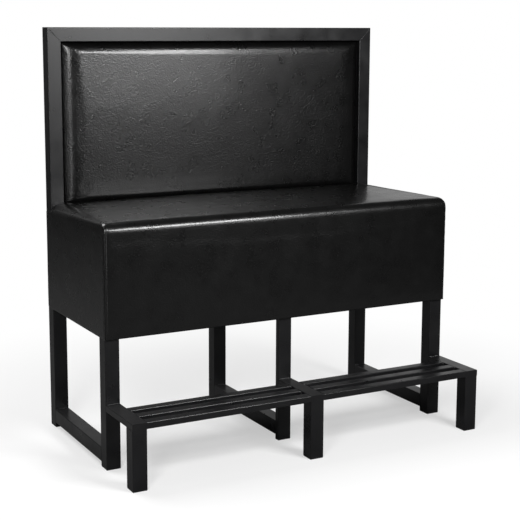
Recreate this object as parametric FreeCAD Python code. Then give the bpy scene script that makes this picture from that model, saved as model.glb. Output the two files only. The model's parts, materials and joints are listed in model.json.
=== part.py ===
import FreeCAD, Part
import os
from math import cos, radians, sin

# High bench for two or three people: a welded frame of square tube, a boxed seat wrapped in
# artificial leather, a framed leather back and a slatted footrest. Millimetres, X along the bench,
# the front towards -Y, Z up, origin on the floor under the middle of the whole bench.

Vector = FreeCAD.Vector

# Overall sizes
seat_width = 1200.0
seat_depth = 500.0
overall_height = 1282.0
seat_height = 735.0
seat_underside = 392.0
footrest_reach = 186.0
footrest_height = 198.0
overrun = 5.0

# Square tube of the frame and flat tube of the rails
tube = 45.0
flat = 20.0
wall = 2.0
tube_corner = 2.5
runner_above_floor = 15.0

# Footrest bars and the plates on the bracket ends
bar_width = 30.0
bar_gap = 29.0
end_plate = 3.0

# Plastic inserts in the tube ends
plug_flange = 3.0
plug_set_in = 1.0
plug_depth = 15.0
plug_wall = 2.0
plug_rib_reach = 1.2
plug_rib_thickness = 1.0
plug_rib_spacing = 4.0
plug_rib_count = 3

# Seat box: boards, foam and leather
leather = 2.0
front_board_thickness = 8.0
side_board_thickness = 12.0
deck_thickness = 18.0
seat_foam_height = 76.0
foam_clearance = 0.3
seat_edge_roll = 28.0
seat_crown = 8.0
seat_rear_drop = 4.0
leather_turn_under = 25.0
leather_rear_margin = 3.0
cloth_thickness = 2.0

# Back: lower rail, panel and pad
back_rail_below_seat = 3.0
panel_recess = 3.5
panel_thickness = 3.0
panel_gap = 1.0
back_board_thickness = 12.0
pad_gap = 1.0
pad_proud = 3.0
pad_roll_width = 48.0
pad_roll_turns = (0, 22.5, 45, 67.5, 90)
pad_crown = 4.0
pad_crown_share = 0.75
pad_crown_shares = ((0.0, 0.0), (0.4, 0.6), (1.0, 1.0))
pad_draw_in_share = 0.01
pad_edge_corner = 8.0
pad_face_corner = 34.0
pad_lip = 18.0

# Steel tabs that hold the boards at the back
tab_length = 35.0
tab_width = 25.0
tab_thickness = 3.0
tab_hole_from_end = 9.0
tab_place_shares = (0.2, 0.8)

# Screws, with flat-sided shanks and heads to keep the model light
screw_sides = 8
screw_shank = 4.2
screw_head = 8.4
screw_head_height = 2.4
screw_head_bevel = 0.8
screw_clearance = 0.1
deck_screw_length = 30.0
front_screw_length = 20.0
rear_screw_length = 8.0
panel_screw_length = 16.0
deck_screw_shares = (0.1, 0.9)

# Places that several pieces share
front = footrest_reach - (seat_depth + footrest_reach) / 2
footrest_front = front - footrest_reach
frame_front = front + leather + front_board_thickness
frame_rear = front + seat_depth
rear_tube_front = frame_rear - tube
half_frame = seat_width / 2 - leather
inner_half = half_frame - tube

deck_top = seat_height - leather - foam_clearance - seat_foam_height
deck_bottom = deck_top - deck_thickness
box_bottom = seat_underside + leather
back_rail_top = seat_height - seat_rear_drop - back_rail_below_seat
back_rail_bottom = back_rail_top - tube
top_rail_bottom = overall_height - tube

panel_rear = frame_rear - panel_recess
panel_front = panel_rear - panel_thickness
tab_front = panel_front - tab_thickness
back_board_rear = tab_front - leather
back_board_front = back_board_rear - back_board_thickness
back_opening_x = (-inner_half, inner_half)
back_opening_z = (back_rail_top, top_rail_bottom)

left_x = (-half_frame, -inner_half)
middle_x = (-tube / 2, tube / 2)
left_bay_x = (-inner_half, -tube / 2)
left_flat_x = (-half_frame, -half_frame + flat)
front_tube_y = (frame_front, frame_front + tube)
front_flat_y = (frame_front, frame_front + flat)
rear_tube_y = (rear_tube_front, frame_rear)
side_rail_y = (frame_front + tube, rear_tube_front)
seat_rail_z = (deck_bottom - tube, deck_bottom)
skirt_rail_z = (box_bottom, box_bottom + tube)
footrest_z = (footrest_height - flat, footrest_height)


def block(x, y, z):
    """Square-edged block between two places on each axis."""
    return Part.makeBox(x[1] - x[0], y[1] - y[0], z[1] - z[0], Vector(x[0], y[0], z[0]))


def mirrored(shape):
    """The same piece for the other end of the bench."""
    return shape.mirror(Vector(0, 0, 0), Vector(1, 0, 0))


def grown(span, extra):
    """A span made longer by extra at both ends, or shorter where extra is negative."""
    return (span[0] - extra, span[1] + extra)


def round_cornered(point, u, v, radius, draw_in_share=None):
    """Closed outline with round corners. With a share, each side leans in by it towards its middle."""
    bulge = radius * (1 - cos(radians(45)))
    middle_u = (u[0] + u[1]) / 2
    middle_v = (v[0] + v[1]) / 2
    corners = [
        ((u[0], v[0] + radius), (u[0] + bulge, v[0] + bulge), (u[0] + radius, v[0])),
        ((u[1] - radius, v[0]), (u[1] - bulge, v[0] + bulge), (u[1], v[0] + radius)),
        ((u[1], v[1] - radius), (u[1] - bulge, v[1] - bulge), (u[1] - radius, v[1])),
        ((u[0] + radius, v[1]), (u[0] + bulge, v[1] - bulge), (u[0], v[1] - radius)),
    ]
    slack_v = (middle_u - u[0] - radius) * (draw_in_share or 0)
    slack_u = (middle_v - v[0] - radius) * (draw_in_share or 0)
    middles = [
        (middle_u, v[0] + slack_v),
        (u[1] - slack_u, middle_v),
        (middle_u, v[1] - slack_v),
        (u[0] + slack_u, middle_v),
    ]
    edges = []
    for index, corner in enumerate(corners):
        start, through, end = [point(*place) for place in corner]
        following = point(*corners[(index + 1) % len(corners)][0])
        edges.append(Part.Arc(start, through, end).toShape())
        if draw_in_share is None:
            edges.append(Part.LineSegment(end, following).toShape())
        else:
            edges.append(Part.LineSegment(end, point(*middles[index])).toShape())
            edges.append(Part.LineSegment(point(*middles[index]), following).toShape())
    return Part.Wire(edges)


def rod(axis, x, y, z, radius):
    """Bar with round long edges that runs along one axis."""
    if axis == "X":
        outline = round_cornered(lambda u, v: Vector(x[0], u, v), y, z, radius)
        run = Vector(x[1] - x[0], 0, 0)
    elif axis == "Y":
        outline = round_cornered(lambda u, v: Vector(u, y[0], v), x, z, radius)
        run = Vector(0, y[1] - y[0], 0)
    else:
        outline = round_cornered(lambda u, v: Vector(u, v, z[0]), x, y, radius)
        run = Vector(0, 0, z[1] - z[0])
    return Part.Face(outline).extrude(run)


def hollow(axis, x, y, z):
    """Length of welded tube with round outer edges, open at both ends."""
    spans = {"X": x, "Y": y, "Z": z}
    bore = {name: grown(span, -wall) for name, span in spans.items()}
    bore[axis] = grown(spans[axis], overrun)
    return rod(axis, x, y, z, tube_corner).cut(block(bore["X"], bore["Y"], bore["Z"]))


def prism(points, y):
    """Straight-sided solid from an outline of (x, z) points, between two places in depth."""
    corners = [Vector(x, y[0], z) for x, z in points]
    outline = Part.makePolygon(corners + corners[:1])
    return Part.Face(outline).extrude(Vector(0, y[1] - y[0], 0))


def turned(point, direction, radii, length):
    """Flat-sided pin along a direction, its radius going from the first of radii to the second."""
    outlines = []
    for radius, travel in zip(radii, (0, length)):
        centre = point + direction * travel
        across = Vector(radius, 0, 0)
        upward = direction.cross(across)
        turns = [radians(360 * side / screw_sides) for side in range(screw_sides)]
        corners = [centre + across * cos(turn) + upward * sin(turn) for turn in turns]
        outlines.append(Part.makePolygon(corners + corners[:1]))
    return Part.makeLoft(outlines, True, True)


def pan_screw(point, direction, length):
    """Screw whose head lies on the surface at point and whose shank goes along direction."""
    shank = turned(point, direction, (screw_shank / 2, screw_shank / 2), length)
    head_radii = (screw_head / 2, screw_head / 2 - screw_head_bevel)
    head = turned(point, direction * -1, head_radii, screw_head_height)
    return shank.fuse(head)


def flush_screw(point, direction, length):
    """Countersunk screw with its head flush at point."""
    shank = turned(point, direction, (screw_shank / 2, screw_shank / 2), length)
    return shank.fuse(turned(point, direction, (screw_head / 2, screw_shank / 2), screw_head_height))


def screw_hole(point, direction, length):
    """Clearance hole for a shank, open at the surface."""
    radius = screw_shank / 2 + screw_clearance
    return turned(point - direction * overrun, direction, (radius, radius), length + 2 * overrun)


def flush_hole(point, direction, length):
    """Clearance hole with a countersink at point."""
    wide = screw_head / 2 + screw_clearance
    narrow = screw_shank / 2 + screw_clearance
    sink = turned(point, direction, (wide, narrow), screw_head_height)
    return sink.fuse(screw_hole(point, direction, length))


def along(span, share):
    """Place at a share of a span."""
    return span[0] + (span[1] - span[0]) * share


# Screw places, used for the screws and for the holes in what they pass through
back_direction = Vector(0, 1, 0)
front_direction = Vector(0, -1, 0)
down = Vector(0, 0, -1)
front_screw_points = [
    Vector(x, frame_front - front_board_thickness, z)
    for x in (-half_frame + tube / 2, 0, half_frame - tube / 2)
    for z in (box_bottom + tube / 2, deck_bottom - tube / 2)
]
deck_screw_points = [
    Vector(x, along(side_rail_y, share), deck_top)
    for x in (-half_frame + flat / 2, 0, half_frame - flat / 2)
    for share in deck_screw_shares
]
rear_board_screw_x = [side * along(left_bay_x, share) for side in (1, -1) for share in tab_place_shares]
rear_screw_from_rail = tab_length - tab_hole_from_end
rear_board_screw_points = [
    Vector(x, panel_rear, z)
    for x in rear_board_screw_x
    for z in (box_bottom + tube / 2, back_rail_bottom - rear_screw_from_rail)
]
back_panel_screw_points = [
    Vector(side * (inner_half - rear_screw_from_rail), panel_rear, along(back_opening_z, share))
    for side in (-1, 1)
    for share in tab_place_shares
] + [
    Vector(along(back_opening_x, share), panel_rear, z)
    for share in tab_place_shares
    for z in (back_rail_top + rear_screw_from_rail, top_rail_bottom - rear_screw_from_rail)
]


def drilled(shape, points, direction, length, hole=screw_hole):
    """A piece with the holes of a set of screws."""
    for point in points:
        shape = shape.cut(hole(point, direction, length))
    return shape


def front_leg():
    """Left front leg, from its plug to the underside of the seat deck."""
    leg = hollow("Z", left_x, front_tube_y, (plug_flange, deck_bottom))
    return drilled(leg, front_screw_points, back_direction, front_screw_length)


def middle_front_leg():
    """Flat tube under the front seat rail."""
    leg = hollow("Z", middle_x, front_flat_y, (plug_flange, seat_rail_z[0]))
    return drilled(leg, front_screw_points, back_direction, front_screw_length)


def rear_upright():
    """Left upright in one length from the floor to the mitre at the top of the back."""
    x = left_x
    upright = hollow("Z", x, rear_tube_y, (plug_flange, overall_height))
    above_mitre = [
        (x[0] - overrun, overall_height + overrun),
        (x[1] + overrun, top_rail_bottom - overrun),
        (x[1] + overrun, overall_height + overrun),
    ]
    return upright.cut(prism(above_mitre, grown(rear_tube_y, overrun)))


def back_top_rail():
    """Top of the back frame, mitred at both ends to the uprights."""
    rail = hollow("X", (-half_frame, half_frame), rear_tube_y, (top_rail_bottom, overall_height))
    below_mitre = [
        (-half_frame - overrun, overall_height + overrun),
        (-inner_half + overrun, top_rail_bottom - overrun),
        (-half_frame - overrun, top_rail_bottom - overrun),
    ]
    corner = prism(below_mitre, grown(rear_tube_y, overrun))
    return rail.cut(corner).cut(mirrored(corner))


def front_seat_rail():
    """Rail under the front edge of the deck, between the two front legs."""
    rail = hollow("X", (-inner_half, inner_half), front_flat_y, seat_rail_z)
    rail = drilled(rail, front_screw_points, back_direction, front_screw_length)
    return drilled(rail, deck_screw_points, down, deck_screw_length)


def side_seat_rail():
    """Left rail under the deck, from the front leg to the upright."""
    rail = hollow("Y", left_flat_x, side_rail_y, seat_rail_z)
    return drilled(rail, deck_screw_points, down, deck_screw_length)


def middle_seat_rail():
    """Rail under the middle of the deck."""
    rail = hollow("Y", (-flat / 2, flat / 2), (front_flat_y[1], rear_tube_front), seat_rail_z)
    return drilled(rail, deck_screw_points, down, deck_screw_length)


def rear_seat_rail():
    """Left rail under the rear edge of the deck."""
    return hollow("X", (left_flat_x[1], -flat / 2), (rear_tube_front - flat, rear_tube_front), seat_rail_z)


def rear_skirt_rail():
    """Left rail at the bottom of the seat box, behind the rear board."""
    rail = hollow("X", left_bay_x, (panel_front - flat, panel_front), skirt_rail_z)
    return drilled(rail, rear_board_screw_points, front_direction, rear_screw_length)


def frame_pieces():
    """All tubes of the seat and back frame by name."""
    left = {
        "front_leg": front_leg(),
        "rear_upright": rear_upright(),
        "runner": hollow("Y", left_x, side_rail_y, (runner_above_floor, runner_above_floor + tube)),
        "seat_rail": side_seat_rail(),
        "rear_seat_rail": rear_seat_rail(),
        "front_skirt_rail": hollow("X", left_bay_x, front_flat_y, skirt_rail_z),
        "skirt_rail": hollow("Y", left_flat_x, side_rail_y, skirt_rail_z),
        "rear_skirt_rail": rear_skirt_rail(),
    }
    pieces = {"left_" + name: shape for name, shape in left.items()}
    pieces.update({"right_" + name: mirrored(shape) for name, shape in left.items()})
    middle_run = (front_flat_y[1], rear_tube_front)
    pieces["middle_front_leg"] = middle_front_leg()
    pieces["middle_rear_leg"] = hollow("Z", middle_x, rear_tube_y, (plug_flange, back_rail_bottom))
    runner_z = (runner_above_floor, runner_above_floor + tube)
    pieces["middle_runner"] = hollow("Y", middle_x, middle_run, runner_z)
    pieces["front_seat_rail"] = front_seat_rail()
    pieces["middle_seat_rail"] = middle_seat_rail()
    pieces["back_top_rail"] = back_top_rail()
    lower_z = (back_rail_bottom, back_rail_top)
    pieces["back_lower_rail"] = hollow("X", (-inner_half, inner_half), rear_tube_y, lower_z)
    return pieces


def footrest_pieces():
    """Brackets, short legs and bars of the footrest by name."""
    pieces = {}
    bracket_y = (footrest_front + end_plate, frame_front)
    leg_y = (footrest_front, footrest_front + tube)
    places = {"left": left_x, "middle": middle_x, "right": (inner_half, half_frame)}
    for side, x in places.items():
        pieces[side + "_footrest_bracket"] = hollow("Y", x, bracket_y, footrest_z)
        pieces[side + "_footrest_leg"] = hollow("Z", x, leg_y, (plug_flange, footrest_z[0]))
    plate_y = (footrest_front, footrest_front + end_plate)
    plates = [rod("Y", x, plate_y, footrest_z, tube_corner) for x in places.values()]
    pieces["footrest_end_plates"] = Part.makeCompound(plates)
    for row, name in enumerate(("front", "middle", "rear")):
        bar_front = footrest_front + row * (bar_width + bar_gap)
        bar = hollow("X", left_bay_x, (bar_front, bar_front + bar_width), footrest_z)
        pieces["left_" + name + "_bar"] = bar
        pieces["right_" + name + "_bar"] = mirrored(bar)
    return pieces


def plug(x, y):
    """Insert for the lower end of a tube that fills the spans x and y. Its ribs grip the bore."""
    flange = block(grown(x, -plug_set_in), grown(y, -plug_set_in), (0, plug_flange))
    slack = wall + plug_rib_reach
    body = block(grown(x, -slack), grown(y, -slack), (0, plug_flange + plug_depth))
    for rib in range(plug_rib_count):
        rib_top = plug_flange + plug_rib_spacing * (rib + 1)
        rib_z = (rib_top - plug_rib_thickness, rib_top)
        body = body.fuse(block(grown(x, -wall), grown(y, -wall), rib_z))
    inside = slack + plug_wall
    well = block(grown(x, -inside), grown(y, -inside), (plug_flange, plug_flange + plug_depth + overrun))
    return flange.fuse(body).cut(well)


def plug_pieces():
    """Inserts of the nine tubes that stand on the floor."""
    right_x = (inner_half, half_frame)
    leg_y = (footrest_front, footrest_front + tube)
    feet = [(left_x, front_tube_y), (right_x, front_tube_y)]
    feet += [(x, rear_tube_y) for x in (left_x, middle_x, right_x)]
    feet += [(x, leg_y) for x in (left_x, middle_x, right_x)]
    return {
        "square_leg_plugs": Part.makeCompound([plug(x, y) for x, y in feet]),
        "flat_leg_plug": plug(middle_x, front_flat_y),
    }


def board_pieces():
    """Boards of the seat box and the screws that hold them."""
    whole_x = (-half_frame, half_frame)
    deck = block(whole_x, (frame_front, rear_tube_front), (deck_bottom, deck_top))
    board_y = (frame_front - front_board_thickness, frame_front)
    front_board = block(whole_x, board_y, (box_bottom, deck_top))
    front_board = drilled(front_board, front_screw_points, back_direction, front_screw_length, flush_hole)
    side_x = (-half_frame, -half_frame + side_board_thickness)
    side_board = block(side_x, side_rail_y, (skirt_rail_z[1], seat_rail_z[0]))
    rear_x = grown(left_bay_x, -panel_gap)
    rear_board = block(rear_x, (panel_front, panel_rear), (box_bottom, back_rail_bottom - panel_gap))
    rear_board = drilled(rear_board, rear_board_screw_points, front_direction, rear_screw_length)
    deck_screws = [flush_screw(point, down, deck_screw_length) for point in deck_screw_points]
    front_screws = [flush_screw(point, back_direction, front_screw_length) for point in front_screw_points]
    rear_screws = [pan_screw(point, front_direction, rear_screw_length) for point in rear_board_screw_points]
    return {
        "seat_deck": drilled(deck, deck_screw_points, down, deck_screw_length, flush_hole),
        "front_board": front_board,
        "left_side_board": side_board,
        "right_side_board": mirrored(side_board),
        "left_rear_board": rear_board,
        "right_rear_board": mirrored(rear_board),
        "deck_screws": Part.makeCompound(deck_screws),
        "front_board_screws": Part.makeCompound(front_screws),
        "rear_board_screws": Part.makeCompound(rear_screws),
    }


def seat_form(inset, bottom, rear):
    """Outer form of the padded seat, drawn in by inset: rolled edges and a low crown both ways."""
    roll = seat_edge_roll - inset
    roll_height = seat_height - seat_crown - seat_edge_roll
    shoulder = roll_height + roll
    bulge = roll * cos(radians(45))
    crown = seat_height - inset
    half = seat_width / 2 - inset

    def side_point(y, z):
        return Vector(-half - overrun, y, z)

    centre_y = front + seat_edge_roll
    crown_end = frame_rear + overrun
    rear_top = seat_height - seat_rear_drop - inset
    side_edges = [
        Part.LineSegment(side_point(front + inset, bottom), side_point(front + inset, roll_height)),
        Part.Arc(
            side_point(front + inset, roll_height),
            side_point(centre_y - bulge, roll_height + bulge),
            side_point(centre_y, shoulder),
        ),
        Part.Arc(
            side_point(centre_y, shoulder),
            side_point((centre_y + crown_end) / 2, crown),
            side_point(crown_end, rear_top),
        ),
        Part.LineSegment(side_point(crown_end, rear_top), side_point(crown_end, bottom)),
        Part.LineSegment(side_point(crown_end, bottom), side_point(front + inset, bottom)),
    ]
    along_bench = Part.Face(Part.Wire([edge.toShape() for edge in side_edges]))
    along_bench = along_bench.extrude(Vector(2 * (half + overrun), 0, 0))

    def front_point(x, z):
        return Vector(x, front - overrun, z)

    centre_x = seat_width / 2 - seat_edge_roll
    front_edges = [
        Part.LineSegment(front_point(-half, bottom), front_point(-half, roll_height)),
        Part.Arc(
            front_point(-half, roll_height),
            front_point(-centre_x - bulge, roll_height + bulge),
            front_point(-centre_x, shoulder),
        ),
        Part.Arc(front_point(-centre_x, shoulder), front_point(0, crown), front_point(centre_x, shoulder)),
        Part.Arc(
            front_point(centre_x, shoulder),
            front_point(centre_x + bulge, roll_height + bulge),
            front_point(half, roll_height),
        ),
        Part.LineSegment(front_point(half, roll_height), front_point(half, bottom)),
        Part.LineSegment(front_point(half, bottom), front_point(-half, bottom)),
    ]
    across_bench = Part.Face(Part.Wire([edge.toShape() for edge in front_edges]))
    across_bench = across_bench.extrude(Vector(0, rear - front + overrun, 0))
    return along_bench.common(across_bench)


def seat_foam():
    """Foam block on the deck, cut square where it meets the back."""
    rear = rear_tube_front - foam_clearance
    return seat_form(leather + foam_clearance, deck_top, rear)


def seat_cover():
    """Leather over the top, front and ends, turned under the box between the legs."""
    rear = frame_rear - leather_rear_margin
    skin = seat_form(0, seat_underside, rear)
    skin = skin.cut(seat_form(leather, seat_underside - overrun, frame_rear))
    between_ends = (-half_frame, half_frame)
    behind_seat = block(between_ends, (rear_tube_front, frame_rear + overrun), (0, overall_height))
    skin = skin.cut(behind_seat)
    hem_z = (seat_underside, box_bottom)
    hem_y = (front, front + leather_turn_under)
    front_hem = block((-seat_width / 2, seat_width / 2), (front, frame_front), hem_z)
    bay_hem = block(left_bay_x, hem_y, hem_z)
    side_hem = block((-seat_width / 2, -seat_width / 2 + leather_turn_under), side_rail_y, hem_z)
    for hem in (front_hem, bay_hem, mirrored(bay_hem), side_hem, mirrored(side_hem)):
        skin = skin.fuse(hem)
    return skin.removeSplitter()


def dust_cover():
    """Black cloth under the box, cut out round the legs."""
    half = seat_width / 2 - leather_turn_under
    cloth_z = (box_bottom - cloth_thickness, box_bottom)
    cloth = block((-half, half), (front + leather_turn_under, panel_front), cloth_z)
    through = grown(cloth_z, overrun)
    left_front = block(left_x, front_tube_y, through)
    left_rear = block(left_x, rear_tube_y, through)
    middle_front = block(middle_x, front_flat_y, through)
    middle_rear = block(middle_x, rear_tube_y, through)
    for leg in (left_front, mirrored(left_front), left_rear, mirrored(left_rear), middle_front, middle_rear):
        cloth = cloth.cut(leg)
    return cloth


def pad_outline(inset, y, radius, draw_in_share=None):
    """Outline of the back pad at one depth."""
    edge = pad_gap + inset
    x = grown(back_opening_x, -edge)
    z = grown(back_opening_z, -edge)
    return round_cornered(lambda u, v: Vector(u, y, v), x, z, radius, draw_in_share)


def pad_form(inset):
    """Padded form in front of the back board: rolled edge, drawn-in sides and a low crown."""
    rise = back_board_front - rear_tube_front + pad_proud - pad_crown - inset
    roll_end = back_board_front - rise
    outlines = []
    for turn in pad_roll_turns:
        part_turn = sin(radians(turn))
        sideways = pad_roll_width * (1 - cos(radians(turn)))
        radius = along((pad_edge_corner, pad_face_corner), part_turn)
        y = back_board_front - rise * part_turn
        outlines.append(pad_outline(inset + sideways, y, radius, pad_draw_in_share * part_turn))
    form = Part.makeLoft(outlines, True, True)
    flat_edge = pad_gap + inset + pad_roll_width + pad_face_corner * (1 - cos(radians(45)))
    crown_run = ((top_rail_bottom - back_rail_top) / 2 - flat_edge) * pad_crown_share
    for near, far in zip(pad_crown_shares, pad_crown_shares[1:]):
        wide = flat_edge + crown_run * near[0]
        narrow = flat_edge + crown_run * far[0]
        x_wide = grown(back_opening_x, -wide)
        x_narrow = grown(back_opening_x, -narrow)
        z_wide = grown(back_opening_z, -wide)
        z_narrow = grown(back_opening_z, -narrow)
        y = (roll_end - pad_crown * far[1], roll_end - pad_crown * near[1])
        low_corner = (x_narrow[0], y[0], z_narrow[0], z_wide[0], x_wide[0])
        high_corner = (x_narrow[1], y[1], z_narrow[1], z_wide[1], x_wide[1])
        form = form.fuse(Part.makeWedge(*low_corner, *high_corner))
    return form.removeSplitter()


def back_board():
    """Plywood that carries the pad."""
    outline = pad_outline(leather, back_board_front, pad_edge_corner)
    board = Part.Face(outline).extrude(Vector(0, back_board_thickness, 0))
    return drilled(board, back_panel_screw_points, front_direction, panel_screw_length)


def back_cover():
    """Leather over the pad and round the board's edge, with a lip stapled to its rear."""
    rim = Part.Face(pad_outline(0, back_board_front, pad_edge_corner))
    rim = rim.extrude(Vector(0, back_board_thickness + leather, 0))
    pocket = Part.Face(pad_outline(leather, back_board_front, pad_edge_corner))
    pocket = pocket.extrude(Vector(0, back_board_thickness, 0))
    opening = Part.Face(pad_outline(leather + pad_lip, back_board_front, pad_edge_corner))
    opening = opening.extrude(Vector(0, back_board_thickness + leather + overrun, 0))
    skin = pad_form(0).cut(pad_form(leather))
    return skin.fuse(rim.cut(pocket).cut(opening)).removeSplitter()


def back_panel():
    """Thin board that closes the back of the frame."""
    x = grown(back_opening_x, -panel_gap)
    z = grown(back_opening_z, -panel_gap)
    panel = block(x, (panel_front, panel_rear), z)
    return drilled(panel, back_panel_screw_points, front_direction, panel_screw_length)


def panel_tabs():
    """Steel tabs welded inside the frame, which the boards at the back are screwed to."""
    y = (tab_front, panel_front)
    tabs = []
    for share in tab_place_shares:
        height = along(back_opening_z, share)
        tab_z = grown((height, height), tab_width / 2)
        upright_tab = block((-inner_half, -inner_half + tab_length), y, tab_z)
        tabs += [upright_tab, mirrored(upright_tab)]
        place = along(back_opening_x, share)
        x = grown((place, place), tab_width / 2)
        tabs.append(block(x, y, (back_rail_top, back_rail_top + tab_length)))
        tabs.append(block(x, y, (top_rail_bottom - tab_length, top_rail_bottom)))
    for place in rear_board_screw_x:
        x = grown((place, place), tab_width / 2)
        tabs.append(block(x, y, (back_rail_bottom - tab_length, back_rail_bottom)))
    points = back_panel_screw_points + rear_board_screw_points
    return Part.makeCompound([drilled(tab, points, front_direction, panel_screw_length) for tab in tabs])


def back_pieces():
    """Board, pad, leather, panel, tabs and screws of the back."""
    screws = [pan_screw(point, front_direction, panel_screw_length) for point in back_panel_screw_points]
    return {
        "back_board": back_board(),
        "back_foam": pad_form(leather + foam_clearance),
        "back_cover": back_cover(),
        "back_panel": back_panel(),
        "panel_tabs": panel_tabs(),
        "back_panel_screws": Part.makeCompound(screws),
    }


def seat_pieces():
    """Foam, leather and cloth of the seat."""
    return {
        "seat_foam": seat_foam(),
        "seat_cover": seat_cover(),
        "dust_cover": dust_cover(),
    }


os.makedirs("parts", exist_ok=True)
for make in (frame_pieces, footrest_pieces, plug_pieces, board_pieces, seat_pieces, back_pieces):
    for node, shape in make().items():
        shape.exportStep("parts/" + node + ".step")
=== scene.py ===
import json
import math
import random

import bmesh
import bpy
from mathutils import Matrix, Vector, noise


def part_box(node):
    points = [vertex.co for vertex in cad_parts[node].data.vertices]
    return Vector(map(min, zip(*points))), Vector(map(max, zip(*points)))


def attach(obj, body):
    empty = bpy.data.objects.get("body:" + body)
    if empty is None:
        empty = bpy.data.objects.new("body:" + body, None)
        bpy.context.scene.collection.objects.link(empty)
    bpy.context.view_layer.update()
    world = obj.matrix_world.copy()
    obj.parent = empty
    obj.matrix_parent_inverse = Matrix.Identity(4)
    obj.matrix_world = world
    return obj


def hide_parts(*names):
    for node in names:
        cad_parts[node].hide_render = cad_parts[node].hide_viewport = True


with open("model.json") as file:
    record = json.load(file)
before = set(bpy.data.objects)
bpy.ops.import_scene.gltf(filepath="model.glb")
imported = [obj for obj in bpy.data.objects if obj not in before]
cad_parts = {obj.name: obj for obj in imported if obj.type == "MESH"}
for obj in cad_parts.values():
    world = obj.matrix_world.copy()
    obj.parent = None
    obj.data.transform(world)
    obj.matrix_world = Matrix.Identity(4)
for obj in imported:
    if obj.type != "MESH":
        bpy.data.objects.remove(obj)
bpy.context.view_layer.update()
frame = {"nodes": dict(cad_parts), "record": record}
nodes = frame["nodes"]

# Welded frame. Legs, uprights, runners and rails are square and flat steel tube, welded together
# and powder-coated black. The baked powder is a satin skin with a fine orange peel, so it takes
# light broadly and looks faintly mottled.

mm = 0.001


def linear(colour):
    """An sRGB hex colour as linear red, green, blue and alpha."""
    channels = [int(colour[place:place + 2], 16) / 255 for place in (1, 3, 5)]
    return tuple(c / 12.92 if c <= 0.04045 else ((c + 0.055) / 1.055) ** 2.4 for c in channels) + (1.0,)


def new_material(name):
    """An empty node material."""
    material = bpy.data.materials.new(name)
    material.use_nodes = True
    material.node_tree.nodes.clear()
    return material


def add(material, kind, values=None, links=None, **settings):
    """Adds a node, sets its properties and input values, and links sockets to its inputs."""
    node = material.node_tree.nodes.new("ShaderNode" + kind)
    for name, value in settings.items():
        setattr(node, name, value)
    for name, value in (values or {}).items():
        node.inputs[name].default_value = value
    for name, socket in (links or {}).items():
        material.node_tree.links.new(socket, node.inputs[name])
    return node


def finish_nodes(slot, material):
    """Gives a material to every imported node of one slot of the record."""
    for entry in frame["record"]["subparts"]:
        if entry["material_slot"] == slot:
            mesh = nodes[entry["node"]].data
            mesh.materials.clear()
            mesh.materials.append(material)


# Powder coat: polyester powder, sprayed and baked. Its orange peel is 1 to 2 mm in life and drawn
# at 4 mm so that it shows; clouds about 60 mm across come from an uneven film.
powder_coat = new_material("powder_coated_steel")
place = add(powder_coat, "TexCoord").outputs["Object"]
peel = add(powder_coat, "TexNoise", {"Scale": 1 / (4 * mm), "Detail": 3.0}, {"Vector": place})
cloud = add(powder_coat, "TexNoise", {"Scale": 1 / (60 * mm), "Detail": 4.0}, {"Vector": place})
tone = add(
    powder_coat, "Mix", {6: linear("#070708"), 7: linear("#0f0f10")}, {0: cloud.outputs["Fac"]},
    data_type="RGBA",
)
gloss = add(
    powder_coat, "MapRange", {"From Min": 0.3, "From Max": 0.7, "To Min": 0.26, "To Max": 0.38},
    {"Value": cloud.outputs["Fac"]},
)
orange_peel = add(
    powder_coat, "Bump", {"Strength": 0.4, "Distance": 0.16 * mm}, {"Height": peel.outputs["Fac"]}
)
shader = add(
    powder_coat, "BsdfPrincipled", {"IOR": 1.4},
    {
        "Base Color": tone.outputs[2], "Roughness": gloss.outputs["Result"],
        "Normal": orange_peel.outputs["Normal"],
    },
)
add(powder_coat, "OutputMaterial", links={"Surface": shader.outputs["BSDF"]})
finish_nodes("black_powder_coat", powder_coat)

# Weld beads. The tubes are joined by short fillets of welding wire in their inside corners, left as
# laid and coated with the frame. A bead is about 5 mm wide and rippled every 3 mm or so.

bead_radius = 2.6 * mm
ground_radius = 2 * mm
ripple = 3.2 * mm
bead_step = 0.8 * mm
bead_inset = 3 * mm
bead_rng = random.Random(7)


def join_lines(mesh, lines, flip=False):
    """Faces between neighbouring lines of vertices."""
    for line, following in zip(lines, lines[1:]):
        for near, far, far_next, near_next in zip(line, line[1:], following[1:], following):
            mesh.faces.new((near, near_next, far_next, far) if flip else (near, far, far_next, near_next))


def lay_bead(mesh, start, end, faces, radius=bead_radius):
    """Rippled bead from start to end in the corner between two faces, given by their normals."""
    length = (end - start).length
    along = (end - start) / length
    side, top = (Vector(face) for face in faces)
    steps = max(int(length / bead_step), 4)
    offset = bead_rng.random() * ripple
    rings = []
    for step in range(steps + 1):
        run = length * step / steps
        swell = abs(math.sin(math.pi * (run + offset) / ripple)) ** 0.6
        rounding = math.sqrt(max(1 - (2 * step / steps - 1) ** 6, 0.05))
        size = radius * (0.78 + 0.26 * swell + 0.08 * bead_rng.random()) * rounding
        ring = []
        for turn in range(-30, 121, 25):
            angle = math.radians(turn)
            point = start + along * run + (side * math.cos(angle) + top * math.sin(angle)) * size
            ring.append(mesh.verts.new(point))
        rings.append(ring)
    join_lines(mesh, [ring + ring[:1] for ring in rings], flip=True)
    mesh.faces.new(rings[0])
    mesh.faces.new(list(reversed(rings[-1])))


def lay_bead_across(mesh, box, y, z, faces):
    """Bead along the width of a tube, given by its box, short of the tube's round edges."""
    start = Vector((box[0].x + bead_inset, y, z))
    lay_bead(mesh, start, Vector((box[1].x - bead_inset, y, z)), faces)


def to_object(mesh, name, material):
    """Makes an object of an edited mesh."""
    data = bpy.data.meshes.new(name)
    mesh.to_mesh(data)
    mesh.free()
    data.materials.append(material)
    made = bpy.data.objects.new(name, data)
    bpy.context.scene.collection.objects.link(made)
    return made


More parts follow.
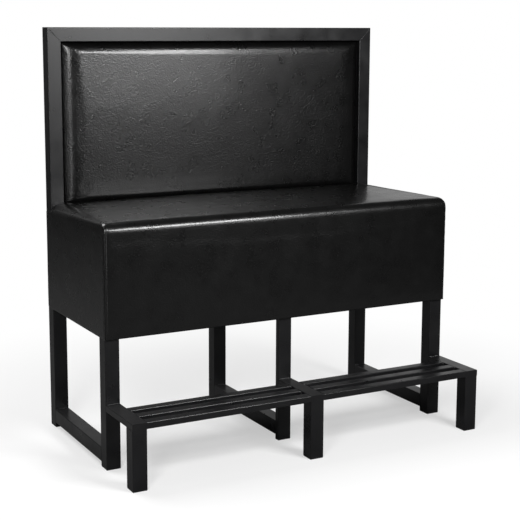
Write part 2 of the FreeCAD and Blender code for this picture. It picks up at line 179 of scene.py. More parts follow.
def as_piece(mesh, name, material, smooth=True):
    """Turns an edited mesh into a piece of the bench."""
    bmesh.ops.recalc_face_normals(mesh, faces=mesh.faces)
    piece = to_object(mesh, name, material)
    if smooth:
        piece.data.polygons.foreach_set("use_smooth", [True] * len(piece.data.polygons))
    return piece


up, down, fore, aft = (0, 0, 1), (0, 0, -1), (0, -1, 0), (0, 1, 0)
sides = ("left", "middle", "right")

frame_beads = bmesh.new()
for side in sides:
    low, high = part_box(side + "_runner")
    for y, face in ((low.y, aft), (high.y, fore)):
        for z, other in ((high.z, up), (low.z, down)):
            lay_bead_across(frame_beads, (low, high), y, z, (face, other))
# The mitres of the back frame are welded too, and their beads ground almost flush.
low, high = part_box("back_top_rail")
opening_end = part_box("back_lower_rail")[1].x
mitre_sunk, mitre_outer, mitre_inner = 1.2 * mm, 2 * mm, 1 * mm
for side in (-1, 1):
    outer_end = Vector((side * (high.x - mitre_outer), low.y + mitre_sunk, high.z - mitre_outer))
    inner_end = Vector((side * (opening_end + mitre_inner), low.y + mitre_sunk, low.z + mitre_inner))
    lay_bead(frame_beads, inner_end, outer_end, (fore, up), ground_radius)
frame_welds = as_piece(frame_beads, "frame_welds", powder_coat)
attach(frame_welds, "root")

footrest_beads = bmesh.new()
for side in sides:
    low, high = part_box(side + "_footrest_bracket")
    for z, other in ((high.z, up), (low.z, down)):
        lay_bead_across(footrest_beads, (low, high), high.y, z, (fore, other))
    low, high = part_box(side + "_footrest_leg")
    lay_bead_across(footrest_beads, (low, high), high.y, high.z, (aft, down))
# A bar's upright corners start above its lower edge; the bead on top lies in a shallow groove.
corner_low, corner_high, groove_depth = 2 * mm, 1 * mm, 1.4 * mm
for side in ("left", "right"):
    for row in ("front", "middle", "rear"):
        low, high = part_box(f"{side}_{row}_bar")
        for x, inward in ((low.x, (1, 0, 0)), (high.x, (-1, 0, 0))):
            for y, outward in ((low.y, fore), (high.y, aft)):
                if row == "front" and y == low.y:
                    continue
                foot = Vector((x, y, low.z + corner_low))
                lay_bead(footrest_beads, foot, Vector((x, y, high.z - corner_high)), (inward, outward))
            start = Vector((x, low.y + bead_inset, high.z - groove_depth))
            end = Vector((x, high.y - bead_inset, start.z))
            lay_bead(footrest_beads, start, end, (inward, up), ground_radius)
footrest_welds = as_piece(footrest_beads, "footrest_welds", powder_coat)
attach(footrest_welds, "root")

# Tube plugs. Each leg stands on a ribbed insert of black polyethylene, pushed into the tube end.
# Moulded polyethylene is waxy and rather matt, scuffed grey where it has been dragged.

plug_plastic = new_material("moulded_polyethylene")
place = add(plug_plastic, "TexCoord").outputs["Object"]
scuff = add(plug_plastic, "TexNoise", {"Scale": 1 / (3 * mm), "Detail": 4.0}, {"Vector": place})
tone = add(
    plug_plastic, "Mix", {6: linear("#0c0c0c"), 7: linear("#242424")}, {0: scuff.outputs["Fac"]},
    data_type="RGBA",
)
grain = add(
    plug_plastic, "Bump", {"Strength": 0.4, "Distance": 0.1 * mm}, {"Height": scuff.outputs["Fac"]}
)
shader = add(
    plug_plastic, "BsdfPrincipled", {"IOR": 1.51, "Roughness": 0.5},
    {"Base Color": tone.outputs[2], "Normal": grain.outputs["Normal"]},
)
add(plug_plastic, "OutputMaterial", links={"Surface": shader.outputs["BSDF"]})
finish_nodes("black_polyethylene", plug_plastic)

# Boards of the seat box and of the back. The deck and the pad's board are birch plywood, the front
# and the ends are fibreboard, and all of it is hidden by the leather.

plywood = new_material("birch_plywood")
place = add(plywood, "TexCoord").outputs["Object"]
stretched = add(plywood, "Mapping", {"Scale": (0.06, 1.0, 1.0)}, {"Vector": place})
figure = add(
    plywood, "TexNoise", {"Scale": 1 / (7 * mm), "Detail": 5.0, "Distortion": 0.4},
    {"Vector": stretched.outputs["Vector"]},
)
tone = add(
    plywood, "Mix", {6: linear("#b98f62"), 7: linear("#e0c49a")}, {0: figure.outputs["Fac"]},
    data_type="RGBA",
)
grain = add(plywood, "Bump", {"Strength": 0.3, "Distance": 0.2 * mm}, {"Height": figure.outputs["Fac"]})
shader = add(
    plywood, "BsdfPrincipled", {"IOR": 1.5, "Roughness": 0.6},
    {"Base Color": tone.outputs[2], "Normal": grain.outputs["Normal"]},
)
add(plywood, "OutputMaterial", links={"Surface": shader.outputs["BSDF"]})
finish_nodes("birch_plywood", plywood)

fibreboard = new_material("raw_fibreboard")
place = add(fibreboard, "TexCoord").outputs["Object"]
fibre = add(fibreboard, "TexNoise", {"Scale": 1 / (1.5 * mm), "Detail": 6.0}, {"Vector": place})
tone = add(
    fibreboard, "Mix", {6: linear("#8a6a48"), 7: linear("#b08a62")}, {0: fibre.outputs["Fac"]},
    data_type="RGBA",
)
nap = add(fibreboard, "Bump", {"Strength": 0.3, "Distance": 0.1 * mm}, {"Height": fibre.outputs["Fac"]})
shader = add(
    fibreboard, "BsdfPrincipled", {"IOR": 1.5, "Roughness": 0.75},
    {"Base Color": tone.outputs[2], "Normal": nap.outputs["Normal"]},
)
add(fibreboard, "OutputMaterial", links={"Surface": shader.outputs["BSDF"]})
finish_nodes("raw_fibreboard", fibreboard)

# Rear panels. Three sheets of hardboard with a printed black face close the back of the frame and
# of the seat box, set a few millimetres in. The face is pressed smooth with a faint linen grain.

hardboard = new_material("black_faced_hardboard")
place = add(hardboard, "TexCoord").outputs["Object"]
# The linen's threads lie under 1 mm apart in life and are drawn 5 mm apart so that they show.
linen_x, linen_z = (
    add(
        hardboard, "TexWave", {"Scale": 1 / (16 * mm), "Distortion": 0.6, "Detail Scale": 2.0},
        {"Vector": place}, bands_direction=direction,
    )
    for direction in ("X", "Z")
)
linen = add(
    hardboard, "Math", links={0: linen_x.outputs["Fac"], 1: linen_z.outputs["Fac"]}, operation="ADD"
)
cloud = add(hardboard, "TexNoise", {"Scale": 1 / (120 * mm), "Detail": 5.0}, {"Vector": place})
gloss = add(
    hardboard, "MapRange", {"From Min": 0.3, "From Max": 0.7, "To Min": 0.42, "To Max": 0.56},
    {"Value": cloud.outputs["Fac"]},
)
tone = add(
    hardboard, "Mix", {6: linear("#101011"), 7: linear("#1a1a1a")}, {0: cloud.outputs["Fac"]},
    data_type="RGBA",
)
emboss = add(
    hardboard, "Bump", {"Strength": 0.25, "Distance": 0.1 * mm}, {"Height": linen.outputs["Value"]}
)
shader = add(
    hardboard, "BsdfPrincipled", {"IOR": 1.5},
    {
        "Base Color": tone.outputs[2], "Roughness": gloss.outputs["Result"],
        "Normal": emboss.outputs["Normal"],
    },
)
add(hardboard, "OutputMaterial", links={"Surface": shader.outputs["BSDF"]})
finish_nodes("black_hardboard", hardboard)

# Screws. Black pan heads with a cross recess hold the rear panels to tabs welded in the frame. The
# countersunk screws of the deck and the front board are zinc-plated and hidden.

zinc = new_material("zinc_plated_steel")
place = add(zinc, "TexCoord").outputs["Object"]
spangle = add(zinc, "TexNoise", {"Scale": 1 / (2 * mm), "Detail": 3.0}, {"Vector": place})
gloss = add(zinc, "MapRange", {"To Min": 0.25, "To Max": 0.45}, {"Value": spangle.outputs["Fac"]})
shader = add(
    zinc, "BsdfPrincipled", {"Base Color": linear("#c3c6c4"), "Metallic": 1.0},
    {"Roughness": gloss.outputs["Result"]},
)
add(zinc, "OutputMaterial", links={"Surface": shader.outputs["BSDF"]})
finish_nodes("zinc_screws", zinc)

black_zinc = new_material("black_passivated_steel")
place = add(black_zinc, "TexCoord").outputs["Object"]
film = add(black_zinc, "TexNoise", {"Scale": 1 / (1.5 * mm), "Detail": 3.0}, {"Vector": place})
gloss = add(black_zinc, "MapRange", {"To Min": 0.28, "To Max": 0.45}, {"Value": film.outputs["Fac"]})
shader = add(
    black_zinc, "BsdfPrincipled", {"Base Color": linear("#1b1b1c"), "IOR": 1.6},
    {"Roughness": gloss.outputs["Result"]},
)
add(black_zinc, "OutputMaterial", links={"Surface": shader.outputs["BSDF"]})
finish_nodes("black_screws", black_zinc)


# From the rim to the middle: radius and height of a pan head's face, in millimetres.
pan_head = ((4.2, 0.0), (4.2, 0.9), (3.9, 1.6), (3.2, 2.1), (2.2, 2.4))
head_sides = 24
head_height = 2.4 * mm
recess_top, recess_floor, recess_middle = 2.45 * mm, 0.9 * mm, 0.8 * mm
slot_end, slot_side, between_slots = 1.9 * mm, 1.75 * mm, 0.6 * mm
least_pitch = 12 * mm


def head_point(mesh, middle, radius, y, turn):
    """A vertex round a screw's axis."""
    return mesh.verts.new((middle.x + radius * math.cos(turn), y, middle.z + radius * math.sin(turn)))


def screw_heads(node, name):
    """Round pan heads with cross recesses where a node's flat-sided screws stand."""
    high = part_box(node)[1]
    face = high.y - head_height
    points = [v.co for v in nodes[node].data.vertices if v.co.y > high.y - 0.1 * mm]
    screws = []
    for point in points:
        near = next((screw for screw in screws if (screw[0] - point).length < least_pitch), None)
        if near:
            near.append(point)
        else:
            screws.append([point])
    mesh = bmesh.new()
    turns = [2 * math.pi * side / head_sides for side in range(head_sides)]
    for screw in screws:
        middle = sum(screw, Vector()) / len(screw)
        rings = []
        for radius, lift in pan_head:
            rings.append([head_point(mesh, middle, radius * mm, face + lift * mm, turn) for turn in turns])
        inner = []
        for index, turn in enumerate(turns):
            in_slot = index % 6 in (0, 1, 5)
            radius = slot_end if index % 6 == 0 else slot_side if in_slot else between_slots
            y = face + (recess_floor if in_slot else recess_top)
            inner.append(head_point(mesh, middle, radius, y, turn))
        rings.append(inner)
        join_lines(mesh, [ring + ring[:1] for ring in rings])
        pit = mesh.verts.new((middle.x, face + recess_middle, middle.z))
        for side in range(head_sides):
            mesh.faces.new((inner[side], inner[(side + 1) % head_sides], pit))
    heads = as_piece(mesh, name, black_zinc, smooth=False)
    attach(heads, "root")
    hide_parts(node)


screw_heads("rear_board_screws", "rear_board_screw_heads")
screw_heads("back_panel_screws", "back_panel_screw_heads")

# Dust cover. Black spun-bonded cloth is stapled under the seat box between the legs to hide the
# boards and the foam. It is thin, dull and slightly fuzzy, and sags a little between its staples.

dust_cloth = new_material("spun_bonded_polypropylene")
place = add(dust_cloth, "TexCoord").outputs["Object"]
fuzz = add(dust_cloth, "TexNoise", {"Scale": 1 / (1.2 * mm), "Detail": 5.0}, {"Vector": place})
dimple = add(dust_cloth, "TexVoronoi", {"Scale": 1 / (2.5 * mm), "Randomness": 0.1}, {"Vector": place})
tone = add(
    dust_cloth, "Mix", {6: linear("#0e0e0e"), 7: linear("#1d1d1d")}, {0: fuzz.outputs["Fac"]},
    data_type="RGBA",
)
nap = add(
    dust_cloth, "Bump", {"Strength": 0.5, "Distance": 0.2 * mm}, {"Height": dimple.outputs["Distance"]}
)
shader = add(
    dust_cloth, "BsdfPrincipled", {"Roughness": 0.9, "Sheen Weight": 0.3, "Sheen Roughness": 0.6},
    {"Base Color": tone.outputs[2], "Normal": nap.outputs["Normal"]},
)
add(dust_cloth, "OutputMaterial", links={"Surface": shader.outputs["BSDF"]})

low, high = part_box("dust_cover")
cloth_step = 12 * mm
above_low = 0.6 * mm
deepest_sag, sag_reach = 4 * mm, 60 * mm
crease_height, crease_length, crease_free = 1.2 * mm, 70 * mm, 30 * mm
columns = round((high.x - low.x) / cloth_step)
lines = round((high.y - low.y) / cloth_step)
legs = [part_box(f"{side}_{row}") for side in ("left", "right") for row in ("front_leg", "rear_upright")]
legs += [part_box("middle_front_leg"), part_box("middle_rear_leg")]


def cloth_height(x, y):
    """Height of the cloth: it hangs down away from the box's edges and the legs, and is creased."""
    reaches = [x - low.x, high.x - x, y - low.y, high.y - y]
    for leg_low, leg_high in legs:
        past_x = max(leg_low.x - x, x - leg_high.x, 0)
        past_y = max(leg_low.y - y, y - leg_high.y, 0)
        reaches.append(math.hypot(past_x, past_y))
    free = min(reaches)
    sag = deepest_sag * (1 - math.exp(-free / sag_reach))
    crease = crease_height * noise.noise(Vector((x, y, 0)) / crease_length) * min(free / crease_free, 1)
    return low.z + above_low - sag + crease


cloth_mesh = bmesh.new()
grid = []
for line in range(lines + 1):
    y = low.y + (high.y - low.y) * line / lines
    across = [low.x + (high.x - low.x) * column / columns for column in range(columns + 1)]
    grid.append([cloth_mesh.verts.new((x, y, cloth_height(x, y))) for x in across])
for row, following in zip(grid, grid[1:]):
    for near, far, far_next, near_next in zip(row, row[1:], following[1:], following):
        middle = (near.co + far_next.co) / 2
        if not any(a.x < middle.x < b.x and a.y < middle.y < b.y for a, b in legs):
            cloth_mesh.faces.new((near, far, far_next, near_next))
for vert in [v for v in cloth_mesh.verts if not v.link_faces]:
    cloth_mesh.verts.remove(vert)


def thicken(piece, thickness):
    """Gives a sheet its thickness, inwards from the face that shows."""
    piece.modifiers.new("thickness", "SOLIDIFY").thickness = thickness


dust_sheet = as_piece(cloth_mesh, "dust_cover_cloth", dust_cloth)
thicken(dust_sheet, 0.5 * mm)
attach(dust_sheet, "root")
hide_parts("dust_cover")

# Seat leather. One sheet of black artificial leather, a vinyl face on a knitted cloth, is pulled
# over the foam and the boxed sides, sewn up at the front corners and stapled under the box. Its
# face is pressed with a fine hide grain and lacquered to a soft gloss.

leather = new_material("artificial_leather")
place = add(leather, "TexCoord").outputs["Object"]
# The pressed hide grain is 1 to 3 mm in life and is drawn coarser so that it shows.
lengthened = add(
    leather, "Mapping", {"Scale": (6.5 * mm, 6.5 * mm, 5 * mm)}, {"Vector": place}, vector_type="TEXTURE"
)
pebble = add(
    leather, "TexVoronoi", {"Scale": 1.0, "Randomness": 1.0}, {"Vector": lengthened.outputs["Vector"]}
)
crinkle = add(
    leather, "TexNoise", {"Scale": 1.4, "Detail": 1.0}, {"Vector": lengthened.outputs["Vector"]}
)
grain = add(
    leather, "Math", {1: 0.5}, {0: pebble.outputs["Distance"], 2: crinkle.outputs["Fac"]},
    operation="MULTIPLY_ADD",
)
# Short slanting wrinkles, about 20 mm long, are pressed in to look like old hide. They lie in groups
# that repeat about every 130 mm, in staggered rows, as on the roll that presses them.
slant = math.radians(-50)
slanting = add(
    leather, "Mapping", {"Rotation": (0, slant, 0), "Scale": (26 * mm, 14 * mm, 6 * mm)},
    {"Vector": place}, vector_type="TEXTURE",
)
wrinkle = add(
    leather, "TexNoise", {"Scale": 1.0, "Detail": 1.0, "Distortion": 0.2},
    {"Vector": slanting.outputs["Vector"]},
)
wrinkle = add(
    leather, "MapRange", {"From Min": 0.5, "From Max": 0.66}, {"Value": wrinkle.outputs["Fac"]},
    interpolation_type="SMOOTHSTEP",
)
split = add(leather, "SeparateXYZ", links={0: place})
rise = add(leather, "Math", links={0: split.outputs["Y"], 1: split.outputs["Z"]}, operation="ADD")
row_up, row_down = (
    add(leather, "Math", links={0: split.outputs["X"], 1: rise.outputs["Value"]}, operation=direction)
    for direction in ("ADD", "SUBTRACT")
)
lattice = add(leather, "CombineXYZ", links={"X": row_up.outputs["Value"], "Y": row_down.outputs["Value"]})
groups = add(
    leather, "TexVoronoi", {"Scale": 1 / (184 * mm), "Randomness": 0.7},
    {"Vector": lattice.outputs["Vector"]}, voronoi_dimensions="2D",
)
groups = add(
    leather, "MapRange", {"From Min": 0.05, "From Max": 0.5, "To Min": 0.35, "To Max": 0.0},
    {"Value": groups.outputs["Distance"]}, interpolation_type="SMOOTHSTEP",
)
wrinkle = add(
    leather, "Math", links={0: wrinkle.outputs["Result"], 1: groups.outputs["Result"]}, operation="MULTIPLY"
)
relief = add(
    leather, "Math", {1: 1.9}, {0: grain.outputs["Value"], 2: wrinkle.outputs["Value"]},
    operation="MULTIPLY_ADD",
)
# The box is wrapped tight, which draws the grain flat, and the top is pressed smooth where people
# sit. The pad's sheet is slacker and keeps its grain.
slack = add(
    leather, "MapRange", {"From Min": 0.74, "From Max": 0.8, "To Min": 0.5, "To Max": 1.0},
    {"Value": split.outputs["Z"]},
)
geometry = add(leather, "NewGeometry")
facing = add(leather, "SeparateXYZ", links={0: geometry.outputs["Normal"]})
flattened = add(
    leather, "MapRange", {"From Min": 0.6, "From Max": 0.95, "To Min": 1.0, "To Max": 0.0},
    {"Value": facing.outputs["Z"]},
)
for pulled in (slack, flattened):
    relief = add(
        leather, "Math", links={0: relief.outputs["Value"], 1: pulled.outputs["Result"]},
        operation="MULTIPLY",
    )
# Slow waves in the stretched sheet, longer along the bench, break up what it reflects.
stretched = add(leather, "Mapping", {"Scale": (0.45, 1.0, 1.0)}, {"Vector": place})
waves = add(
    leather, "TexNoise", {"Scale": 1 / (110 * mm), "Detail": 2.0}, {"Vector": stretched.outputs["Vector"]}
)
slow = add(leather, "Bump", {"Strength": 1.0, "Distance": 0.45 * mm}, {"Height": waves.outputs["Fac"]})
surface = add(
    leather, "Bump", {"Strength": 1.0, "Distance": 0.4 * mm},
    {"Height": relief.outputs["Value"], "Normal": slow.outputs["Normal"]},
)
patch = add(leather, "TexNoise", {"Scale": 1 / (45 * mm), "Detail": 4.0}, {"Vector": place})
gloss = add(
    leather, "MapRange", {"From Min": 0.3, "From Max": 0.7, "To Min": 0.26, "To Max": 0.32},
    {"Value": patch.outputs["Fac"]},
)
tone = add(
    leather, "Mix", {6: linear("#040404"), 7: linear("#080808")}, {0: patch.outputs["Fac"]},
    data_type="RGBA",
)
shader = add(
    leather, "BsdfPrincipled", {"IOR": 1.33, "Coat Weight": 0.2, "Coat Roughness": 0.16},
    {
        "Base Color": tone.outputs[2], "Roughness": gloss.outputs["Result"],
        "Normal": surface.outputs["Normal"],
    },
)
add(leather, "OutputMaterial", links={"Surface": shader.outputs["BSDF"]})

low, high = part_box("seat_cover")
upright_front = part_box("left_rear_upright")[0].y
half = high.x
front_roll = 28 * mm
crown = 4 * mm
shoulder = high.z - crown
# The crown's cap is highest at this depth and ends this far from it. It stands a quarter higher than
# the crown, because the cloth stops short of its cap.
crown_middle, crown_reach, crown_rise = 0.13, 0.28, 1.25 * crown
along_power, depth_power = 0.6, 0.8
# The rounding at the bench's ends grows from the sewn corner, over the front roll and back along the top.
corner_width, corner_drop = 5 * mm, 5 * mm
top_width, top_drop = 14 * mm, 11 * mm
rear_width, rear_drop = 50 * mm, 26 * mm
stitch_pull = 17 * mm


def smooth_step(share):
    """Goes from 0 to 1 with level ends."""
    share = min(max(share, 0), 1)
    return share * share * (3 - 2 * share)


# Rows go up the front, over its rolled edge and back along the top; each has a place in depth and
# height and the angle its face has turned from forward to upward.
front_rows, top_rows = 32, 42
roll_turns = (10, 20, 30, 40, 50, 53, 56, 60, 65, 70, 80, 90)
roll_start = shoulder - front_roll
rows = [(low.y, low.z + (roll_start - low.z) * k / (front_rows - 1), 0) for k in range(front_rows)]
for turn in roll_turns:
    angle = math.radians(turn)
    y = low.y + front_roll * (1 - math.cos(angle))
    rows.append((y, roll_start + front_roll * math.sin(angle), turn))
top_start = low.y + front_roll
rows += [
    (top_start + (upright_front - top_start) * k / top_rows, shoulder, 90) for k in range(1, top_rows + 1)
]

# Columns go along the bench. Near each end they close up for the sewn seam, then turn round the end.
near_seam = [step * mm for step in (0, 1, 2.2, 3, 3.5, 4, 4.8, 6, 9, 14, 22, 32)]
half_columns = 48
end_turns = (12, 24, 36, 48, 60, 72, 81, 90)


def end_shape(turn, y):
    """Width and drop of the rounding at the bench's end, for a row turned by this much at this depth."""
    share = smooth_step(turn / 90)
    width = corner_width + (top_width - corner_width) * share
    drop = corner_drop + (top_drop - corner_drop) * share
    back_share = min(max((y - top_start) / (upright_front - top_start), 0), 1)
    return width + (rear_width - top_width) * back_share, drop + (rear_drop - top_drop) * back_share


def crown_at(x, y):
    """Height of the foam's crown above the shoulder."""
    along_share = max(1 - (x / (half - rear_width)) ** 2, 0)
    depth_share = max(1 - ((y - crown_middle) / crown_reach) ** 2, 0)
    return crown_rise * along_share ** along_power * depth_share ** depth_power


def seat_line(y, z, turn):
    """Points from end to end of the bench along one row."""
    width, drop = end_shape(turn, y)
    inner = half - width
    angle = math.radians(turn)
    forward, lift = -math.cos(angle), math.sin(angle)

    def round_end(side, end_turn):
        """A point of the rounding at one end of the row."""
        around = math.radians(end_turn)
        sink = drop * (1 - math.cos(around))
        return side * (inner + width * math.sin(around)), y - forward * sink, z - lift * sink

    reach = inner - near_seam[-1]
    xs = [-(inner - step) for step in near_seam[:-1]]
    xs += [reach * k / half_columns for k in range(-half_columns, half_columns + 1)]
    xs += [inner - step for step in reversed(near_seam[:-1])]
    line = [round_end(-1, end_turn) for end_turn in reversed(end_turns)]
    line += [(x, y, z) for x in xs]
    return line + [round_end(1, end_turn) for end_turn in end_turns]


seat = bmesh.new()
seat_rows = [[seat.verts.new(point) for point in seat_line(*row)] for row in rows]
join_lines(seat, seat_rows)

# The end panels fill in from the front edge and the top edge, and run on beside the uprights. The
# front edge ends at the row that has turned by 50 degrees.
turn_row = front_rows + roll_turns.index(50)
panel_columns_behind = 4
for end in (0, -1):
    front_edge = [row[end] for row in seat_rows[:turn_row + 1]]
    top_edge = [row[end] for row in seat_rows[turn_row:]]
    corner = front_edge[-1].co
    foot = front_edge[0].co
    head = top_edge[-1].co
    panel = [front_edge[::-1]]
    for vert in top_edge[1:]:
        column = [vert]
        for edge_vert in front_edge[-2::-1]:
            share_down = (corner.z - edge_vert.co.z) / (corner.z - foot.z)
            y = edge_vert.co.y + (head.y - edge_vert.co.y) * (vert.co.y - corner.y) / (head.y - corner.y)
            z = vert.co.z + (foot.z - vert.co.z) * share_down
            column.append(seat.verts.new((vert.co.x, y, z)))
        panel.append(column)
    last_column = panel[-1]
    for extra in range(1, panel_columns_behind + 1):
        y = head.y + (high.y - head.y) * extra / panel_columns_behind
        panel.append([seat.verts.new((head.x, y, vert.co.z)) for vert in last_column])
    join_lines(seat, panel)
bmesh.ops.recalc_face_normals(seat, faces=seat.faces)


cloth_frames = 18


def swell_by_cloth(mesh, name, hold, cap, pressure=4.0):
    """Blows a skin up over its foam with the cloth solver. hold gives how firmly a point is fixed, from
    0 to 1, and cap how far it may move. The mesh is moved to where the cloth comes to rest."""
    data = bpy.data.meshes.new(name)
    mesh.to_mesh(data)
    trial = bpy.data.objects.new(name, data)
    bpy.context.scene.collection.objects.link(trial)
    group = trial.vertex_groups.new(name="held")
    for vert in data.vertices:
        group.add([vert.index], hold(vert.co), "REPLACE")
    cloth = trial.modifiers.new("cloth", "CLOTH")
    cloth.settings.vertex_group_mass = "held"
    cloth.settings.effector_weights.gravity = 0
    cloth.settings.use_pressure = True
    cloth.settings.uniform_pressure_force = pressure
    cloth.settings.quality = 4
    cloth.settings.tension_stiffness = 25
    cloth.settings.compression_stiffness = 25
    cloth.settings.bending_stiffness = 2
    cloth.collision_settings.use_collision = False
    for frame_number in range(1, cloth_frames + 1):
        bpy.context.scene.frame_set(frame_number)
    rested = trial.evaluated_get(bpy.context.evaluated_depsgraph_get()).to_mesh()
    moved = [vert.co.copy() for vert in rested.vertices]
    bpy.context.scene.frame_set(1)
    bpy.data.objects.remove(trial)
    mesh.verts.ensure_lookup_table()
    for vert, place_now in zip(mesh.verts, moved):
        travel = place_now - vert.co
        limit = cap(vert.co)
        if travel.length > 1e-7 and limit > 0:
            vert.co += travel.normalized() * limit * math.tanh(travel.length / limit)


# Up to the first height the boards hold the leather; up to the second their grip fades. The sides
# may give a little from 0.5 m upwards.
held_up_to, free_from, grip_fade = 0.6, 0.66, 0.06
corner_grip_x, corner_grip_y = 8 * mm, 12 * mm
side_play, play_from, play_growth = 0.35 * mm, 0.5, 0.2


def seat_hold(point):
    """The boards hold the leather low down; stitches hold it at the front corners."""
    if point.z < held_up_to or point.y > upright_front - 1 * mm:
        return 1.0
    at_corner = abs(point.x) > half - corner_grip_x and point.y < low.y + corner_grip_y
    if at_corner and math.cos(2 * math.pi * point.z / stitch_pull) > 0.3:
        return 1.0
    return max(0.0, min(1.0, (free_from - point.z) / grip_fade)) * 0.8


def seat_cap(point):
    """The top may rise by its crown; the edges and the sides hardly move."""
    on_top = smooth_step((point.z - shoulder + front_roll) / front_roll)
    at_side = side_play * smooth_step((point.z - play_from) / play_growth)
    return at_side + on_top * crown_at(point.x, point.y)


seat.verts.ensure_lookup_table()
swell_by_cloth(seat, "seat_trial", seat_hold, seat_cap)


def radial_wrinkles(point, origin, reach, count, depth):
    """Small folds that fan out from a sewn corner and die away."""
    offset = point - origin
    distance = offset.length
    if distance > 4 * reach:
        return 0.0
    bearing = math.atan2(offset.z, offset.x if abs(offset.x) > abs(offset.y) else offset.y)
    fade = math.exp(-distance / reach) * min(distance / (12 * mm), 1)
    return depth * fade * math.sin(count * bearing + 9 * noise.noise(point / (40 * mm)))


# The seam draws the sheet in along the corner, puckers it between stitches, and the sheet keeps
# shallow waves. A fold runs forward from where it is cut round each upright. The front stands a
# little full beside the seam, and a groove runs on each side of it.
fullness, fullness_reach = 2.2 * mm, 8 * mm
front_groove_at, front_groove_width = 1 * mm, 1.6 * mm
side_groove_at, side_groove_width = 4 * mm, 2.5 * mm
pucker_height, pucker_front, pucker_side = 0.5 * mm, 5 * mm, 10 * mm
pucker_from, pucker_growth = 0.55, 0.12
seam_depth = 25 * mm


def bell(distance, width):
    """1 at no distance, falling away to 0 over the width."""
    return math.exp(-(distance / width) ** 2)


def seam_shift(point, firm):
    """How far the leather stands out or sinks in beside the corner seam."""
    from_end = half - corner_width - abs(point.x)
    on_end = abs(point.x) > half - 1 * mm
    pucker = math.cos(2 * math.pi * point.z / stitch_pull + 2.5 * noise.noise(point / (50 * mm)))
    near_top = 0.5 + 0.5 * smooth_step((point.z - pucker_from) / pucker_growth)
    if on_end:
        from_front = point.y - low.y - corner_drop
        groove = bell(from_front - side_groove_at, side_groove_width)
        shift_out = -(0.6 + 0.4 * pucker) * mm * groove
        beside = math.exp(-from_front / pucker_side)
    else:
        on_front = smooth_step((low.y + 20 * mm - point.y) / (20 * mm))
        on_front *= 1 - smooth_step((point.z - shoulder) / (4 * mm))
        below_roll = 1 - smooth_step((point.z - shoulder + front_roll) / front_roll)
        full = fullness * (1 - math.exp(-max(from_end, 0) / fullness_reach))
        groove = bell(from_end - front_groove_at, front_groove_width)
        shift_out = (full - (0.8 + 0.3 * pucker) * mm * groove) * below_roll * firm
        beside = math.exp(-abs(from_end) / pucker_front) * on_front
    return shift_out + pucker_height * (1 + pucker) * near_top * (1 - groove) * beside


def fold_shift(point):
    """Height of the fold that runs forward from the upright, along the top's rounded end. It grows
    from 0.6 mm in front to 2.4 mm at the upright."""
    if point.z <= shoulder - 4 * mm or point.y <= top_start:
        return 0.0
    width = end_shape(90, point.y)[0]
    back_share = (point.y - top_start) / (upright_front - top_start)
    return (0.6 + 1.8 * back_share) * mm * bell(abs(point.x) - (half - width), 6 * mm)


def shallow_waves(point, firm, *waves):
    """How far the sheet stands out in its waves. Each wave has a height and a length."""
    return sum(height * firm * noise.noise(point / length) for height, length in waves)


seat.normal_update()
moves = []
for vert in seat.verts:
    point = vert.co
    firm = smooth_step((point.z - low.z) / (30 * mm))
    shift_out = 0.0
    if point.z < shoulder and point.y < low.y + seam_depth:
        shift_out += seam_shift(point, firm)
    corner_point = Vector((math.copysign(half - 6 * mm, point.x), low.y + 4 * mm, shoulder - 12 * mm))
    shift_out += radial_wrinkles(point, corner_point, 45 * mm, 9, 0.3 * mm)
    shift_out += fold_shift(point)
    shift_out += shallow_waves(point, firm, (0.5 * mm, 110 * mm), (0.15 * mm, 38 * mm))
    moves.append(vert.normal * shift_out)
for vert, move in zip(seat.verts, moves):
    vert.co += move
    vert.co.z = min(vert.co.z, high.z + 3 * mm)


def round_off(piece):
    """Smooths a piece's mesh by one subdivision."""
    rounding = piece.modifiers.new("rounding", "SUBSURF")
    rounding.levels = 1
    rounding.render_levels = 1


seat_leather = as_piece(seat, "seat_leather", leather)
thicken(seat_leather, 1.6 * mm)
round_off(seat_leather)
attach(seat_leather, "root")
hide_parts("seat_cover", "seat_foam")

# Seat hem. The lower edge of the leather is folded under the box and runs a short way in. Staples
# hold it on the real bench; they are too small to show here.

# From the box's edge inwards: travel and height of the folded leather, in millimetres.
hem_section = ((0, 4), (0, 1.2), (0.8, 0.3), (3, 0), (12, 0), (24, 0.2))
hem_width = hem_section[-1][0]
hem_step = 12 * mm
hem_x, hem_y = half - 1 * mm, low.y + 1 * mm
strips = [((-hem_x, hem_y), (hem_x, hem_y), (0, 1))]
strips += [((side * hem_x, hem_y), (side * hem_x, upright_front), (-side, 0)) for side in (-1, 1)]
hem = bmesh.new()
for start, end, inward in strips:
    steps = round(math.hypot(end[0] - start[0], end[1] - start[1]) / hem_step)
    hem_lines = []
    for step in range(steps + 1):
        x = start[0] + (end[0] - start[0]) * step / steps
        y = start[1] + (end[1] - start[1]) * step / steps
        pulled = 0.5 * mm * noise.noise(Vector((x, y, 0.3)) / (22 * mm))
        line = []
        for travel, lift in hem_section:
            across, along = inward[0] * travel * mm, inward[1] * travel * mm
            z = low.z + lift * mm + pulled * travel / hem_width
            line.append(hem.verts.new((x + across, y + along, z)))
        hem_lines.append(line)
    join_lines(hem, hem_lines)
seat_hem = as_piece(hem, "seat_leather_hem", leather)
thicken(seat_hem, 1.2 * mm)
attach(seat_hem, "root")

# Back pad. The same leather is pulled over foam on a plywood board and pressed into the frame from
# behind. The edge rolls steeply out of the frame, then eases to a broad, slightly crowned face.

low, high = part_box("back_cover")
pad_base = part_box("back_board")[0].y
frame_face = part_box("left_rear_upright")[0].y
pad_proud = 6 * mm
pad_thick = 13 * mm
edge_columns = [
    step * mm for step in (0, 0.6, 1.6, 3, 5, 7.5, 10, 13, 16, 19, 22, 26, 31, 36, 41, 46, 52, 60)
]
pad_step = 11 * mm
